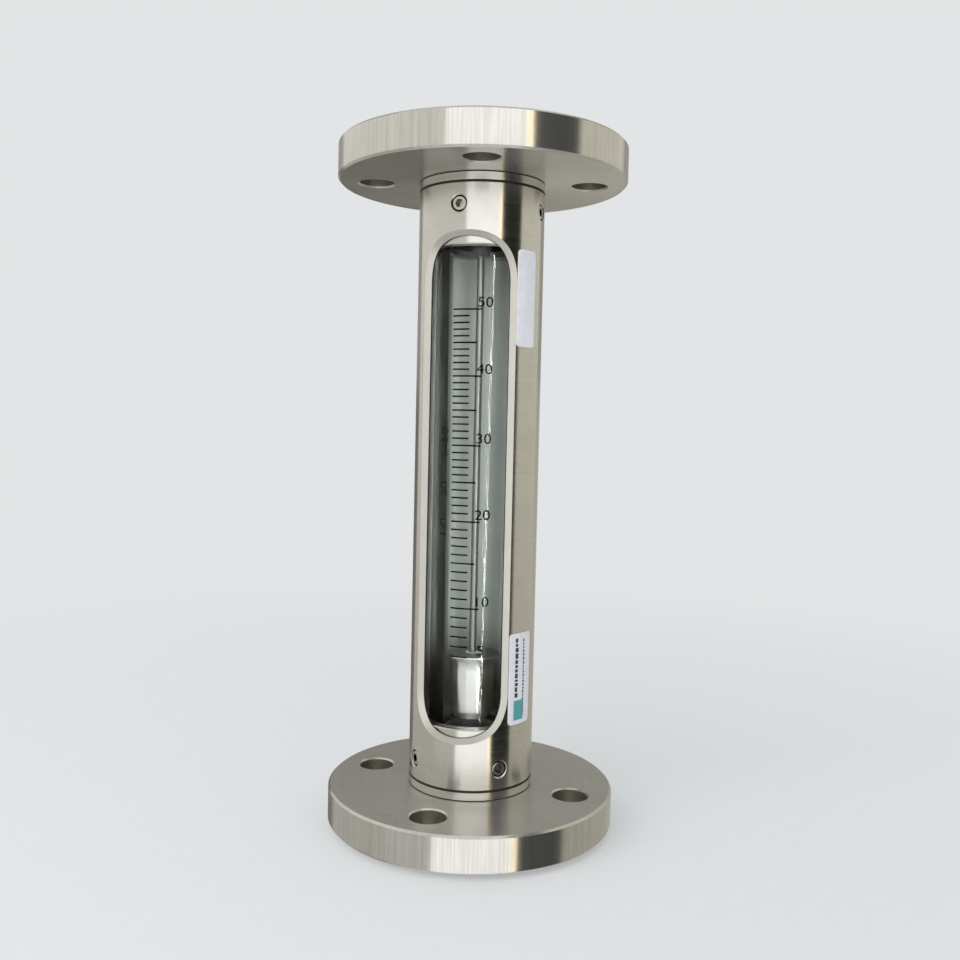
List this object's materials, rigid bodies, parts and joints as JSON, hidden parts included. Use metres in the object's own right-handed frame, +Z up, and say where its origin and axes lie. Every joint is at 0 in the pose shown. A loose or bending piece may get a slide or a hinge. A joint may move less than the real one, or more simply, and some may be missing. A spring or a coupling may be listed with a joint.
{
  "type": "rotameter",
  "caption": "Variable-area flow meter: a float slides on a guide rod in a tapered glass tube, inside a steel tube with a front window and a flange at each end.",
  "frame": {"origin": "centre of the lower flange's sealing face", "axes": "+Z up along the flow axis, -Y out of the front window, +X to the right of the window"},
  "size_m": [0.115, 0.115, 0.273],
  "materials": {
    "flange_steel": "turned, fine concentric tool marks",
    "fitting_steel": "turned",
    "housing_steel": "satin, brushed round the tube",
    "inner_steel": "machined",
    "rod_steel": "drawn and polished",
    "float_steel": "fine turned and polished",
    "screw_steel": "plain",
    "glass": "clear borosilicate with printed plain scale",
    "seal_rubber": "matt",
    "ptfe": "white PTFE",
    "stop_plastic": "dark moulded plastic",
    "label_film": "satin printed film"
  },
  "bodies": {
    "housing": {"lower_flange": "flange_steel", "upper_flange": "flange_steel", "lower_end_fitting": "fitting_steel", "upper_end_fitting": "fitting_steel", "housing_tube": "housing_steel", "glass_tube": "glass", "guide_rod": "rod_steel", "lower_float_stop": "stop_plastic", "upper_float_stop": "stop_plastic", "lower_rod_spider": "inner_steel", "upper_rod_spider": "inner_steel", "lower_retaining_ring": "inner_steel", "upper_retaining_ring": "inner_steel", "lower_glass_gasket": "ptfe", "upper_glass_gasket": "ptfe", "lower_oring": "seal_rubber", "upper_oring": "seal_rubber", "lower_gland_ring": "inner_steel", "upper_gland_ring": "inner_steel", "upper_label": "label_film", "lower_label": "label_film", "set_screw_lower_1": "screw_steel", "set_screw_lower_2": "screw_steel", "set_screw_lower_3": "screw_steel", "set_screw_lower_4": "screw_steel", "set_screw_upper_1": "screw_steel", "set_screw_upper_2": "screw_steel", "set_screw_upper_3": "screw_steel", "set_screw_upper_4": "screw_steel"},
    "float": {"float_body": "float_steel", "float_lower_bush": "ptfe", "float_upper_bush": "ptfe"}
  },
  "joints": [
    {"name": "float_travel", "type": "slide", "parent": "housing", "child": "float", "axis": [0, 0, 1], "range_m": [0, 0.1585]}
  ]
}
